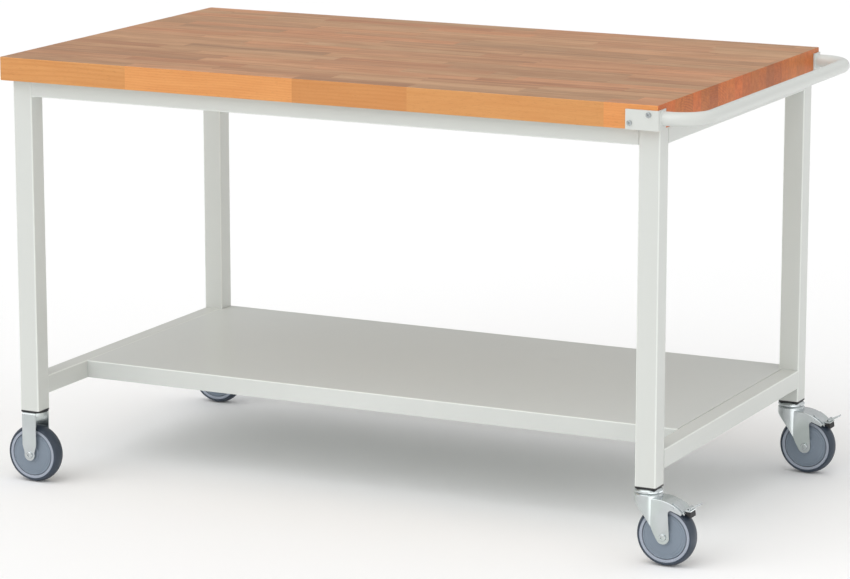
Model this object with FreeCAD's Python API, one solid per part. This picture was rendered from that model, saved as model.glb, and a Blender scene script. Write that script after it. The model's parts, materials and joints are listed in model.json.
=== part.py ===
import FreeCAD, Part
import math
import os

# Mobile workbench: a solid wood top on a welded tube frame, with a sheet steel shelf, a push
# handle at the right end, two braked swivel casters under that end and two fixed casters at
# the left. Millimetres, +Z up. The origin is on the floor under the centre of the overall box,
# +X runs along the bench towards the handle and -Y is the front.

Vector = FreeCAD.Vector
X_AXIS = Vector(1, 0, 0)
Y_AXIS = Vector(0, 1, 0)
Z_AXIS = Vector(0, 0, 1)

# Worktop and overall size
TOP_LENGTH = 1500.0
TOP_DEPTH = 900.0
TOP_THICKNESS = 50.0
TOP_EDGE_RADIUS = 1.5
BENCH_HEIGHT = 930.0
HANDLE_REACH = 94.0

# Frame
LEG_SIZE = 45.0
TUBE_WALL = 2.0
TUBE_CORNER_RADIUS = 3.0
INSET_LEFT = 15.0
INSET_RIGHT = 5.0
INSET_FRONT_REAR = 25.0
LEG_BOTTOM = 160.0
TOP_RAIL = 35.0
SIDE_RAIL = 40.0
SHELF_TOP = 230.0

# Shelf tray
SHEET = 1.5
SHELF_SETBACK = 235.0
SHELF_LIP = 38.0
SHELF_RETURN = 15.0
LEG_NOTCH_GAP = 0.5
STIFFENER_WIDTH = 60.0
STIFFENER_HEIGHT = 25.0
STIFFENER_FLANGE = 15.0

# Push handle and its brackets
HANDLE_TUBE_RADIUS = 14.0
HANDLE_WALL = 2.0
HANDLE_BEND_RADIUS = 62.0
HANDLE_BELOW_TOP = 27.0
HANDLE_IN_FROM_EDGE = 18.0
BRACKET_SHEET = 3.0
BRACKET_LONG = 70.0
BRACKET_SHORT = 38.0
BRACKET_HEIGHT = 40.0
BRACKET_SCREWS = ((9.0, 13.0), (49.0, 31.0))

# Screws
SCREW_SHANK_RADIUS = 2.5
SCREW_HEAD_RADIUS = 5.5
SCREW_HEAD_HEIGHT = 3.0
SCREW_LENGTH = 35.0
HOLE_CLEARANCE = 0.05

# Fixing tabs under the worktop
TAB_LENGTH = 40.0
TAB_WIDTH = 30.0
TAB_THICKNESS = 3.0

# Leg inserts and caster bolts
INSERT_FLANGE = 4.0
INSERT_PLUG_HEIGHT = 32.0
INSERT_PLUG_GAP = 0.1
BOLT_RADIUS = 6.0
BOLT_HEAD_RADIUS = 10.0
BOLT_HEAD_HEIGHT = 7.5
BOLT_TOP = 186.0

# Wheels
WHEEL_RADIUS = 62.5
TYRE_WIDTH = 32.0
TYRE_SHOULDER_RADIUS = 57.5
RIM_RADIUS = 54.0
RIM_WIDTH = 31.0
RIM_INNER_RADIUS = 48.5
GUARD_RADIUS = 46.5
WEB_WIDTH = 12.0
HUB_RADIUS = 16.5
HUB_WIDTH = 36.0
BEARING_RADIUS = 14.0
BEARING_WIDTH = 8.0
AXLE_TUBE_RADIUS = 6.0
AXLE_RADIUS = 4.0
RUNNING_GAP = 0.05

# Swivel casters
TRAIL = 40.0
FORK_SHEET = 2.5
FORK_HALF_WIDTH = 25.0
HEAD_RADIUS = 29.0
CROWN_TOP = 139.5
LOWER_RACE_TOP = 146.5
UPPER_RACE_BOTTOM = 147.0
KINGPIN_RADIUS = 10.0
KINGPIN_BOTTOM = 130.0
KINGPIN_FLANGE_RADIUS = 17.0
BALL_RADIUS = 2.5
BALL_CIRCLE_RADIUS = 20.0
BALL_COUNT = 16

FENDER_START = 25.0
FENDER_RADIUS = 78.5
FENDER_ANGLE = 44.5
FORK_ROOF_RADIUS = 1.8

# Brake
PEDAL_PIN_X = 60.0
PEDAL_PIN_Z = 125.0
PEDAL_PIN_RADIUS = 2.0
PEDAL_SHEET = 2.0
PEDAL_SIDE_GAP = 0.6
WINDOW_START = 58.0
WINDOW_HALF_WIDTH = 20.5
CAP_RISE = 2.5
KNUCKLE_X = 88.5
KNUCKLE_Z = 122.6
KNUCKLE_RADIUS = 4.0
KNUCKLE_BORE = 1.8
PEDAL_TAB_HALF_WIDTH = 9.0
PAD_HALF_WIDTH = 14.0

# Fixed casters
FIXED_HALF_WIDTH = 27.0
FIXED_FORK_LENGTH = 34.0
FIXED_CUP_RADIUS = 28.0
FIXED_CUP_HEIGHT = 7.0

# Places worked out from the driving sizes
WHEEL_BEYOND_TOP = WHEEL_RADIUS - INSET_LEFT - LEG_SIZE / 2
OVERALL_LENGTH = WHEEL_BEYOND_TOP + TOP_LENGTH + HANDLE_REACH
TOP_LEFT = -OVERALL_LENGTH / 2 + WHEEL_BEYOND_TOP
TOP_RIGHT = TOP_LEFT + TOP_LENGTH
TOP_FRONT = -TOP_DEPTH / 2
TOP_REAR = TOP_DEPTH / 2
TOP_UNDERSIDE = BENCH_HEIGHT - TOP_THICKNESS
FRAME_LEFT = TOP_LEFT + INSET_LEFT
FRAME_RIGHT = TOP_RIGHT - INSET_RIGHT
FRAME_FRONT = TOP_FRONT + INSET_FRONT_REAR
FRAME_REAR = TOP_REAR - INSET_FRONT_REAR
LEG_X = {"left": FRAME_LEFT + LEG_SIZE / 2, "right": FRAME_RIGHT - LEG_SIZE / 2}
LEG_Y = {"front": FRAME_FRONT + LEG_SIZE / 2, "rear": FRAME_REAR - LEG_SIZE / 2}
MOUNT_Z = LEG_BOTTOM - INSERT_FLANGE
SHELF_FRONT = TOP_FRONT + SHELF_SETBACK
SHELF_LEFT = FRAME_LEFT + SIDE_RAIL
SHELF_RIGHT = FRAME_RIGHT - SIDE_RAIL

os.makedirs("parts", exist_ok=True)


def save(name, shape):
    """Write one node; a list of solids becomes one group."""
    if isinstance(shape, list):
        shape = Part.makeCompound(shape)
    shape.exportStep("parts/" + name + ".step")


def box(x0, x1, y0, y1, z0, z1):
    return Part.makeBox(x1 - x0, y1 - y0, z1 - z0, Vector(x0, y0, z0))


def cylinder(radius, x, y, z, height, axis=Z_AXIS):
    return Part.makeCylinder(radius, height, Vector(x, y, z), axis)


def parallel_edges(shape, axis):
    """The straight edges of a shape that run along an axis."""
    found = []
    for edge in shape.Edges:
        if edge.Curve.TypeId != "Part::GeomLine":
            continue
        direction = edge.Vertexes[-1].Point - edge.Vertexes[0].Point
        if abs(direction.dot(axis)) > 0.999 * direction.Length:
            found.append(edge)
    return found


def rounded_box(x0, x1, y0, y1, z0, z1, axis, radius):
    block = box(x0, x1, y0, y1, z0, z1)
    return block.makeFillet(radius, parallel_edges(block, axis))


def tube(x0, x1, y0, y1, z0, z1, axis):
    """Rectangular tube with rounded corners, open at both ends."""
    outer = rounded_box(x0, x1, y0, y1, z0, z1, axis, TUBE_CORNER_RADIUS)
    inset = [0.0 if component else TUBE_WALL for component in axis]
    bore = rounded_box(x0 + inset[0], x1 - inset[0], y0 + inset[1], y1 - inset[1],
                       z0 + inset[2], z1 - inset[2], axis, TUBE_CORNER_RADIUS - TUBE_WALL)
    return outer.cut(bore)


def side_prism(segments, y0, y1):
    """Extrude a closed outline in the XZ plane from y0 to y1."""
    wire = Part.Wire(Part.__sortEdges__([segment.toShape() for segment in segments]))
    return Part.Face(wire).extrude(Vector(0, y1 - y0, 0)).translated(Vector(0, y0, 0))


def at(x, z):
    return Vector(x, 0, z)


def line(start, end):
    return Part.LineSegment(at(*start), at(*end))


def arc(start, middle, end):
    return Part.Arc(at(*start), at(*middle), at(*end))


def outline(points):
    """Straight segments through a list of points, closed."""
    return [line(points[i - 1], points[i]) for i in range(len(points))]


def revolved(points, axis):
    """Turn a closed (radius, height) outline about an axis through the origin."""
    radial = Z_AXIS if axis == Y_AXIS else X_AXIS
    corners = [radial * radius + axis * height for radius, height in points]
    wire = Part.makePolygon(corners + corners[:1])
    return Part.Face(wire).revolve(Vector(0, 0, 0), axis, 360)


def pan_screw(point, direction, length):
    """Pan-head screw whose head sits on the surface at point and whose shank runs along direction."""
    shank = Part.makeCylinder(SCREW_SHANK_RADIUS, length, point, direction)
    head = Part.makeCylinder(SCREW_HEAD_RADIUS, SCREW_HEAD_HEIGHT,
                             point - direction * SCREW_HEAD_HEIGHT, direction)
    rims = [edge for edge in head.Edges if edge.Closed
            and (edge.CenterOfMass - point).dot(direction) < -SCREW_HEAD_HEIGHT / 2]
    head = head.makeFillet(SCREW_HEAD_HEIGHT * 0.5, rims)
    across = Vector(direction.y, direction.z, direction.x)
    top = point - direction * SCREW_HEAD_HEIGHT
    recess = []
    for side in (across, direction.cross(across)):
        arm = Part.makeBox(5.0, 1.2, 3.2, Vector(-2.5, -0.6, -1.6))
        turn = FreeCAD.Rotation(side, direction.cross(side), direction, "XYZ")
        arm.Placement = FreeCAD.Placement(top, turn)
        recess.append(arm)
    return head.fuse(shank).cut(recess[0].fuse(recess[1]))


def pilot(point, direction, length):
    radius = SCREW_SHANK_RADIUS + HOLE_CLEARANCE
    return Part.makeCylinder(radius, length, point, direction)


def hexagon(radius, x, y, z, height, axis=Z_AXIS):
    """Hexagonal prism; radius is to its corners."""
    across = X_AXIS
    up = axis.cross(across)
    corners = []
    for step in range(6):
        angle = math.radians(60 * step)
        corners.append(Vector(x, y, z) + across * (radius * math.cos(angle)) + up * (radius * math.sin(angle)))
    return Part.Face(Part.makePolygon(corners + corners[:1])).extrude(axis * height)


# Screws and the places where they go: each is (point under the head, direction)

def bracket_screw_places(side):
    """The two screws of one handle bracket; side is -1 at the front and 1 at the rear."""
    places = []
    for from_left, up in BRACKET_SCREWS:
        x = TOP_RIGHT + BRACKET_SHEET - BRACKET_LONG + from_left
        y = side * (TOP_DEPTH / 2 + BRACKET_SHEET)
        places.append((Vector(x, y, TOP_UNDERSIDE + up), Vector(0, -side, 0)))
    return places


def tab_places():
    """Centre of each fixing tab and the way it points from its rail."""
    places = []
    inner_front = FRAME_FRONT + TOP_RAIL
    inner_rear = FRAME_REAR - TOP_RAIL
    for part in (-1, 0, 1):
        x = (FRAME_LEFT + FRAME_RIGHT) / 2 + part * TOP_LENGTH * 0.36
        places.append((x, inner_front + TAB_WIDTH / 2, "x"))
        places.append((x, inner_rear - TAB_WIDTH / 2, "x"))
    for part in (-1, 1):
        y = part * TOP_DEPTH * 0.2
        places.append((FRAME_LEFT + TOP_RAIL + TAB_WIDTH / 2, y, "y"))
        places.append((FRAME_RIGHT - TOP_RAIL - TAB_WIDTH / 2, y, "y"))
    return places


def tab_screw_places():
    return [(Vector(x, y, TOP_UNDERSIDE - TAB_THICKNESS), Z_AXIS) for x, y, along in tab_places()]


def shelf_screw_places(side):
    """Screws from under the shelf into one side rail; side is left or right."""
    places = []
    for part in (0.15, 0.5, 0.85):
        y = SHELF_FRONT + part * (FRAME_REAR - LEG_SIZE - SHELF_FRONT)
        x = SHELF_LEFT + SHEET if side == "left" else SHELF_RIGHT - SHEET
        direction = X_AXIS * (-1 if side == "left" else 1)
        places.append((Vector(x, y, SHELF_TOP - SHELF_LIP / 2), direction))
    return places


# Wooden top, frame and shelf

def make_worktop():
    top = box(TOP_LEFT, TOP_RIGHT, TOP_FRONT, TOP_REAR, TOP_UNDERSIDE, BENCH_HEIGHT)
    top = top.makeFillet(TOP_EDGE_RADIUS, top.Edges)
    holes = [pilot(point, direction, SCREW_LENGTH) for point, direction in tab_screw_places()]
    for side in (-1, 1):
        for point, direction in bracket_screw_places(side):
            holes.append(pilot(point, direction, SCREW_LENGTH + BRACKET_SHEET))
    return top.cut(Part.makeCompound(holes))


def make_legs():
    for side, x in LEG_X.items():
        for end, y in LEG_Y.items():
            half = LEG_SIZE / 2
            leg = tube(x - half, x + half, y - half, y + half, LEG_BOTTOM, TOP_UNDERSIDE, Z_AXIS)
            save("leg_" + end + "_" + side, leg)


def make_top_rails():
    low = TOP_UNDERSIDE - TOP_RAIL
    x0, x1 = FRAME_LEFT + LEG_SIZE, FRAME_RIGHT - LEG_SIZE
    y0, y1 = FRAME_FRONT + LEG_SIZE, FRAME_REAR - LEG_SIZE
    save("top_rail_front", tube(x0, x1, FRAME_FRONT, FRAME_FRONT + TOP_RAIL, low, TOP_UNDERSIDE, X_AXIS))
    save("top_rail_rear", tube(x0, x1, FRAME_REAR - TOP_RAIL, FRAME_REAR, low, TOP_UNDERSIDE, X_AXIS))
    save("top_rail_left", tube(FRAME_LEFT, FRAME_LEFT + TOP_RAIL, y0, y1, low, TOP_UNDERSIDE, Y_AXIS))
    save("top_rail_right", tube(FRAME_RIGHT - TOP_RAIL, FRAME_RIGHT, y0, y1, low, TOP_UNDERSIDE, Y_AXIS))


def make_side_rails():
    low = SHELF_TOP - SIDE_RAIL
    y0, y1 = FRAME_FRONT + LEG_SIZE, FRAME_REAR - LEG_SIZE
    spans = {"left": (FRAME_LEFT, SHELF_LEFT), "right": (SHELF_RIGHT, FRAME_RIGHT)}
    for side, (x0, x1) in spans.items():
        rail = tube(x0, x1, y0, y1, low, SHELF_TOP, Y_AXIS)
        holes = [pilot(point, direction, SHEET + TUBE_WALL + 1)
                 for point, direction in shelf_screw_places(side)]
        save("side_rail_" + side, rail.cut(Part.makeCompound(holes)))


def make_shelf_tray():
    """Flat sheet with lips folded down all round, returns along the front and rear lips."""
    low = SHELF_TOP - SHELF_LIP
    block = box(SHELF_LEFT, SHELF_RIGHT, SHELF_FRONT, FRAME_REAR, low, SHELF_TOP)
    front_edges = [edge for edge in parallel_edges(block, X_AXIS)
                   if edge.CenterOfMass.z > low + 1]
    outer = block.makeFillet(2 * SHEET, front_edges)
    inner = box(SHELF_LEFT + SHEET, SHELF_RIGHT - SHEET, SHELF_FRONT + SHEET, FRAME_REAR - SHEET,
                low + SHEET, SHELF_TOP - SHEET)
    inner_edges = [edge for edge in parallel_edges(inner, X_AXIS)
                   if edge.CenterOfMass.z > SHELF_TOP - 2 * SHEET]
    inner = inner.makeFillet(SHEET, inner_edges)
    mouth = box(SHELF_LEFT + SHEET, SHELF_RIGHT - SHEET, SHELF_FRONT + SHELF_RETURN,
                FRAME_REAR - SHELF_RETURN, low - 1, low + 2 * SHEET)
    tray = outer.cut(inner).cut(mouth)
    notch_front = FRAME_REAR - LEG_SIZE - LEG_NOTCH_GAP
    notch_left = FRAME_LEFT + LEG_SIZE + LEG_NOTCH_GAP
    notch_right = FRAME_RIGHT - LEG_SIZE - LEG_NOTCH_GAP
    tray = tray.cut(box(SHELF_LEFT - 1, notch_left, notch_front, FRAME_REAR + 1, low - 1, SHELF_TOP + 1))
    tray = tray.cut(box(notch_right, SHELF_RIGHT + 1, notch_front, FRAME_REAR + 1, low - 1, SHELF_TOP + 1))
    for side in ("left", "right"):
        for point, direction in shelf_screw_places(side):
            tray = tray.cut(pilot(point, direction, SHEET))
    return tray


def make_shelf_stiffener():
    """Hat section along the middle of the shelf's underside."""
    middle = (SHELF_FRONT + FRAME_REAR) / 2
    top = SHELF_TOP - SHEET
    half = STIFFENER_WIDTH / 2
    x0, x1 = SHELF_LEFT + 3 * SHEET, SHELF_RIGHT - 3 * SHEET
    hat = box(x0, x1, middle - half, middle + half, top - STIFFENER_HEIGHT, top)
    hollow = box(x0, x1, middle - half + SHEET, middle + half - SHEET, top - STIFFENER_HEIGHT + SHEET, top)
    flanges = box(x0, x1, middle - half - STIFFENER_FLANGE, middle + half + STIFFENER_FLANGE, top - SHEET, top)
    inside = box(x0, x1, middle - half + SHEET, middle + half - SHEET, top - SHEET, top)
    return hat.cut(hollow).fuse(flanges.cut(inside)).removeSplitter()


def make_tabs():
    tabs = []
    radius = SCREW_SHANK_RADIUS + HOLE_CLEARANCE
    for x, y, along in tab_places():
        half_x = TAB_LENGTH / 2 if along == "x" else TAB_WIDTH / 2
        half_y = TAB_WIDTH / 2 if along == "x" else TAB_LENGTH / 2
        low = TOP_UNDERSIDE - TAB_THICKNESS
        plate = rounded_box(x - half_x, x + half_x, y - half_y, y + half_y, low, TOP_UNDERSIDE, Z_AXIS, 1.0)
        tabs.append(plate.cut(cylinder(radius, x, y, low - 1, TAB_THICKNESS + 2)))
    return tabs


# Push handle

def make_push_handle():
    """U-shaped tube swept along two short arms, two bends and one long bar."""
    x0 = TOP_RIGHT + BRACKET_SHEET
    x1 = TOP_RIGHT + HANDLE_REACH - HANDLE_TUBE_RADIUS
    y0 = TOP_FRONT + HANDLE_IN_FROM_EDGE
    y1 = -y0
    z = BENCH_HEIGHT - HANDLE_BELOW_TOP
    r = HANDLE_BEND_RADIUS
    slant = r * math.sqrt(0.5)
    front_bend = Part.Arc(Vector(x1 - r, y0, z), Vector(x1 - r + slant, y0 + r - slant, z), Vector(x1, y0 + r, z))
    rear_bend = Part.Arc(Vector(x1, y1 - r, z), Vector(x1 - r + slant, y1 - r + slant, z), Vector(x1 - r, y1, z))
    path = Part.Wire([
        Part.LineSegment(Vector(x0, y0, z), Vector(x1 - r, y0, z)).toShape(),
        front_bend.toShape(),
        Part.LineSegment(Vector(x1, y0 + r, z), Vector(x1, y1 - r, z)).toShape(),
        rear_bend.toShape(),
        Part.LineSegment(Vector(x1 - r, y1, z), Vector(x0, y1, z)).toShape()])
    solids = []
    for radius in (HANDLE_TUBE_RADIUS, HANDLE_TUBE_RADIUS - HANDLE_WALL):
        ring = Part.Wire(Part.makeCircle(radius, Vector(x0, y0, z), X_AXIS))
        solids.append(path.makePipeShell([ring], True, False))
    return solids[0].cut(solids[1])


def make_handle_bracket(side):
    """Angle bracket on a corner of the worktop; side is -1 at the front and 1 at the rear."""
    z0, z1 = TOP_UNDERSIDE, TOP_UNDERSIDE + BRACKET_HEIGHT
    outer_x = TOP_RIGHT + BRACKET_SHEET
    outer_y = TOP_DEPTH / 2 + BRACKET_SHEET
    body = box(outer_x - BRACKET_LONG, outer_x, -outer_y, BRACKET_SHORT - outer_y, z0, z1)
    corner = [edge for edge in parallel_edges(body, Z_AXIS)
              if edge.CenterOfMass.x > outer_x - 1 and edge.CenterOfMass.y < 1 - outer_y]
    body = body.makeFillet(BRACKET_SHEET, corner)
    body = body.cut(box(outer_x - BRACKET_LONG - 1, TOP_RIGHT, TOP_FRONT, 0, z0 - 1, z1 + 1))
    if side > 0:
        body = body.mirror(Vector(0, 0, 0), Y_AXIS)
    for point, direction in bracket_screw_places(side):
        body = body.cut(pilot(point, direction, BRACKET_SHEET))
    return body


# Casters. Each maker works about the leg's centre line, with +X towards the trailing wheel.

def make_insert():
    half = LEG_SIZE / 2
    plug = half - TUBE_WALL - INSERT_PLUG_GAP
    flange = rounded_box(-half, half, -half, half, MOUNT_Z, LEG_BOTTOM, Z_AXIS, TUBE_CORNER_RADIUS)
    body = rounded_box(-plug, plug, -plug, plug, LEG_BOTTOM, LEG_BOTTOM + INSERT_PLUG_HEIGHT, Z_AXIS, 1.0)
    bore = cylinder(BOLT_RADIUS + HOLE_CLEARANCE, 0, 0, MOUNT_Z - 1, INSERT_PLUG_HEIGHT + INSERT_FLANGE + 2)
    return flange.fuse(body).cut(bore)


def make_caster_bolt(head_top):
    shank = cylinder(BOLT_RADIUS, 0, 0, head_top, BOLT_TOP - head_top)
    head = hexagon(BOLT_HEAD_RADIUS, 0, 0, head_top - BOLT_HEAD_HEIGHT, BOLT_HEAD_HEIGHT)
    return head.fuse(shank)


def make_swivel_head():
    """Upper race with the hollow kingpin and its lower flange, which hold the fork's crown."""
    bore = BOLT_RADIUS + HOLE_CLEARANCE
    crown_low = CROWN_TOP - FORK_SHEET
    points = [(bore, KINGPIN_BOTTOM), (KINGPIN_FLANGE_RADIUS, KINGPIN_BOTTOM),
              (KINGPIN_FLANGE_RADIUS, crown_low - 1.5), (KINGPIN_RADIUS, crown_low - 1.5),
              (KINGPIN_RADIUS, UPPER_RACE_BOTTOM), (HEAD_RADIUS - 2, UPPER_RACE_BOTTOM),
              (HEAD_RADIUS, UPPER_RACE_BOTTOM + 2), (HEAD_RADIUS, MOUNT_Z - 4),
              (HEAD_RADIUS - 2, MOUNT_Z - 1.5), (HEAD_RADIUS - 5, MOUNT_Z), (bore, MOUNT_Z)]
    return revolved(points, Z_AXIS).cut(make_ball_groove())


def make_ball_groove():
    middle = (LOWER_RACE_TOP + UPPER_RACE_BOTTOM) / 2
    return Part.makeTorus(BALL_CIRCLE_RADIUS, BALL_RADIUS + RUNNING_GAP, Vector(0, 0, middle), Z_AXIS)


def make_swivel_balls():
    middle = (LOWER_RACE_TOP + UPPER_RACE_BOTTOM) / 2
    balls = []
    for step in range(BALL_COUNT):
        angle = 2 * math.pi * step / BALL_COUNT
        centre = Vector(BALL_CIRCLE_RADIUS * math.cos(angle), BALL_CIRCLE_RADIUS * math.sin(angle), middle)
        balls.append(Part.makeSphere(BALL_RADIUS, centre))
    return balls


def fork_plan(half_width, cup_radius, low, high):
    """Round cup about the kingpin, with parallel sides running back past the wheel."""
    cup = cylinder(cup_radius, 0, 0, low, high - low)
    sides = box(0, 200, -half_width, half_width, low, high)
    return cup.fuse(sides)


def fender_arc(radius):
    """Three points of the fender's roof, which leaves the crown level and curves down."""
    points = []
    for part in (0.0, 0.5, 1.0):
        angle = math.radians(FENDER_ANGLE * part)
        points.append((FENDER_START + radius * math.sin(angle),
                       CROWN_TOP - FENDER_RADIUS + radius * math.cos(angle)))
    return points


def make_swivel_fork():
    """Pressed sheet fork: cup under the race, two tapering sides and a fender over the wheel."""
    axle_x, axle_z, boss = TRAIL, WHEEL_RADIUS, 14.0
    slant = math.radians(210)
    boss_front = (axle_x + boss * math.cos(slant), axle_z + boss * math.sin(slant))
    top_left = (-HEAD_RADIUS, CROWN_TOP)
    fender = fender_arc(FENDER_RADIUS)
    side = [line(top_left, fender[0]), arc(*fender), line(fender[2], (79.0, 111.5)),
            line((79.0, 111.5), (57.5, 119.0)), arc((57.5, 119.0), (52.5, 117.0), (50.5, 112.0)),
            line((50.5, 112.0), (axle_x + boss, axle_z)),
            arc((axle_x + boss, axle_z), (axle_x, axle_z - boss), boss_front),
            line(boss_front, (19.0, 71.0)), arc((19.0, 71.0), (0.5, 104.5), (-HEAD_RADIUS, 134.0)),
            line((-HEAD_RADIUS, 134.0), top_left)]
    plan = fork_plan(FORK_HALF_WIDTH, HEAD_RADIUS, 0, CROWN_TOP + 1)
    outer = side_prism(side, -HEAD_RADIUS, HEAD_RADIUS).common(plan)
    shoulders = [edge for edge in outer.Edges if edge.CenterOfMass.z > 125 and edge.CenterOfMass.x > 30
                 and abs(abs(edge.CenterOfMass.y) - FORK_HALF_WIDTH) < 0.01 and edge.Length > 40]
    outer = outer.makeFillet(FORK_ROOF_RADIUS, shoulders)
    roof = fender_arc(FENDER_RADIUS - FORK_SHEET)
    ceiling = (-60.0, CROWN_TOP - FORK_SHEET)
    inner = [line(ceiling, roof[0]), arc(*roof), line(roof[2], (90.0, 104.0)),
             line((90.0, 104.0), (90.0, 20.0)), line((90.0, 20.0), (-60.0, 20.0)),
             line((-60.0, 20.0), ceiling)]
    inner_plan = fork_plan(FORK_HALF_WIDTH - FORK_SHEET, HEAD_RADIUS - FORK_SHEET, 0, CROWN_TOP)
    fork = outer.cut(side_prism(inner, -60, 60).common(inner_plan))
    fork = fork.cut(box(WINDOW_START, 110, -WINDOW_HALF_WIDTH, WINDOW_HALF_WIDTH, 100, CROWN_TOP + 1))
    race = [(KINGPIN_RADIUS + 4, CROWN_TOP - 1), (HEAD_RADIUS - 2, CROWN_TOP - 1), (HEAD_RADIUS, CROWN_TOP),
            (HEAD_RADIUS, LOWER_RACE_TOP - 2.5), (HEAD_RADIUS - 2.5, LOWER_RACE_TOP),
            (KINGPIN_RADIUS + 4, LOWER_RACE_TOP)]
    fork = fork.fuse(revolved(race, Z_AXIS)).cut(make_ball_groove())
    fork = fork.cut(cylinder(KINGPIN_RADIUS + RUNNING_GAP, 0, 0, 0, BENCH_HEIGHT))
    fork = fork.cut(cylinder(AXLE_RADIUS + HOLE_CLEARANCE, axle_x, -60, axle_z, 120, Y_AXIS))
    return fork.cut(cylinder(PEDAL_PIN_RADIUS + HOLE_CLEARANCE, PEDAL_PIN_X, -60, PEDAL_PIN_Z, 120, Y_AXIS))


def make_fixed_fork():
    """U-shaped strap with straight sides that taper to the axle, and a round stiffening cup."""
    half, tip = FIXED_FORK_LENGTH / 2, 12.5
    crown_low = MOUNT_Z - FORK_SHEET
    shoulder = WHEEL_RADIUS + 22.0
    side = [line((-half, MOUNT_Z), (half, MOUNT_Z)), line((half, MOUNT_Z), (half, shoulder)),
            line((half, shoulder), (tip * 0.94, WHEEL_RADIUS + 4)),
            arc((tip * 0.94, WHEEL_RADIUS + 4), (0, WHEEL_RADIUS - tip), (-tip * 0.94, WHEEL_RADIUS + 4)),
            line((-tip * 0.94, WHEEL_RADIUS + 4), (-half, shoulder)),
            line((-half, shoulder), (-half, MOUNT_Z))]
    block = side_prism(side, -FIXED_HALF_WIDTH, FIXED_HALF_WIDTH)
    bends = [edge for edge in parallel_edges(block, X_AXIS) if edge.CenterOfMass.z > MOUNT_Z - 1]
    block = block.makeFillet(2 * FORK_SHEET, bends)
    inside = FIXED_HALF_WIDTH - FORK_SHEET
    hollow = box(-60, 60, -inside, inside, 0, crown_low)
    bends = [edge for edge in parallel_edges(hollow, X_AXIS) if edge.CenterOfMass.z > crown_low - 1]
    strap = block.cut(hollow.makeFillet(FORK_SHEET, bends))
    cup = cylinder(FIXED_CUP_RADIUS, 0, 0, crown_low - FIXED_CUP_HEIGHT + 2, FIXED_CUP_HEIGHT)
    cup = cup.common(box(-60, 60, -inside, inside, 0, crown_low + 2))
    fork = strap.fuse(cup)
    fork = fork.cut(cylinder(BOLT_RADIUS + HOLE_CLEARANCE, 0, 0, 0, BENCH_HEIGHT))
    return fork.cut(cylinder(AXLE_RADIUS + HOLE_CLEARANCE, 0, -60, WHEEL_RADIUS, 120, Y_AXIS))


def make_tyre():
    """Domed tread about the Y axis, bonded to the rim."""
    half = TYRE_WIDTH / 2
    dome = Part.Arc(Vector(0, -half, TYRE_SHOULDER_RADIUS), Vector(0, 0, WHEEL_RADIUS),
                    Vector(0, half, TYRE_SHOULDER_RADIUS))
    corners = [Vector(0, half, TYRE_SHOULDER_RADIUS), Vector(0, half, RIM_RADIUS),
               Vector(0, -half, RIM_RADIUS), Vector(0, -half, TYRE_SHOULDER_RADIUS)]
    wire = Part.Wire([dome.toShape()] + Part.makePolygon(corners).Edges)
    return Part.Face(wire).revolve(Vector(0, 0, 0), Y_AXIS, 360)


def make_wheel_core():
    """Rim, web and hub in one moulding."""
    rim, web, hub = RIM_WIDTH / 2, WEB_WIDTH / 2, HUB_WIDTH / 2
    half = [(RIM_RADIUS, rim), (RIM_INNER_RADIUS, rim), (RIM_INNER_RADIUS - 2, web + 2),
            (RIM_INNER_RADIUS - 4, web), (HUB_RADIUS + 2, web), (HUB_RADIUS, web + 2), (HUB_RADIUS, hub),
            (BEARING_RADIUS, hub)]
    mirrored = [(radius, -height) for radius, height in reversed(half)]
    return revolved(half + mirrored, Y_AXIS)


def make_thread_guards():
    """Dished discs that close both sides of the wheel round the hub."""
    hub = HUB_WIDTH / 2
    half = [(8.0, hub), (HUB_RADIUS, hub), (HUB_RADIUS + 2, hub - 2.6), (GUARD_RADIUS, hub - 4.6),
            (GUARD_RADIUS, hub - 2.9), (HUB_RADIUS + 2.5, hub - 0.8), (HUB_RADIUS + 0.5, hub + 2.2),
            (8.0, hub + 2.2)]
    mirrored = [(radius, -height) for radius, height in half]
    return [revolved(half, Y_AXIS), revolved(mirrored, Y_AXIS)]


def make_wheel_bearings():
    """Two ball bearings, each as one ring that turns with the hub."""
    rings = []
    for low in (-HUB_WIDTH / 2, HUB_WIDTH / 2 - BEARING_WIDTH):
        ring = cylinder(BEARING_RADIUS, 0, low, 0, BEARING_WIDTH, Y_AXIS)
        rings.append(ring.cut(cylinder(AXLE_TUBE_RADIUS + RUNNING_GAP, 0, low, 0, BEARING_WIDTH, Y_AXIS)))
    return rings


def make_axle_tube(half_length):
    outer = cylinder(AXLE_TUBE_RADIUS, 0, -half_length, 0, 2 * half_length, Y_AXIS)
    return outer.cut(cylinder(AXLE_RADIUS + HOLE_CLEARANCE, 0, -half_length, 0, 2 * half_length, Y_AXIS))


def make_axle(half_width):
    """Axle bolt with a domed head at the front and a hexagon nut at the rear."""
    head = cylinder(7.5, 0, -half_width - 4, 0, 4, Y_AXIS)
    rims = [edge for edge in head.Edges if edge.Closed and edge.CenterOfMass.y < -half_width - 2]
    head = head.makeFillet(1.8, rims)
    socket = hexagon(3.4, 0, -half_width - 4.5, 0, 2.5, Y_AXIS)
    shank = cylinder(AXLE_RADIUS, 0, -half_width, 0, 2 * half_width + 8, Y_AXIS)
    nut = hexagon(7.5, 0, half_width, 0, 6.5, Y_AXIS)
    nut = nut.cut(cylinder(AXLE_RADIUS + HOLE_CLEARANCE, 0, half_width, 0, 7, Y_AXIS))
    return [head.cut(socket).fuse(shank), nut]


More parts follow.
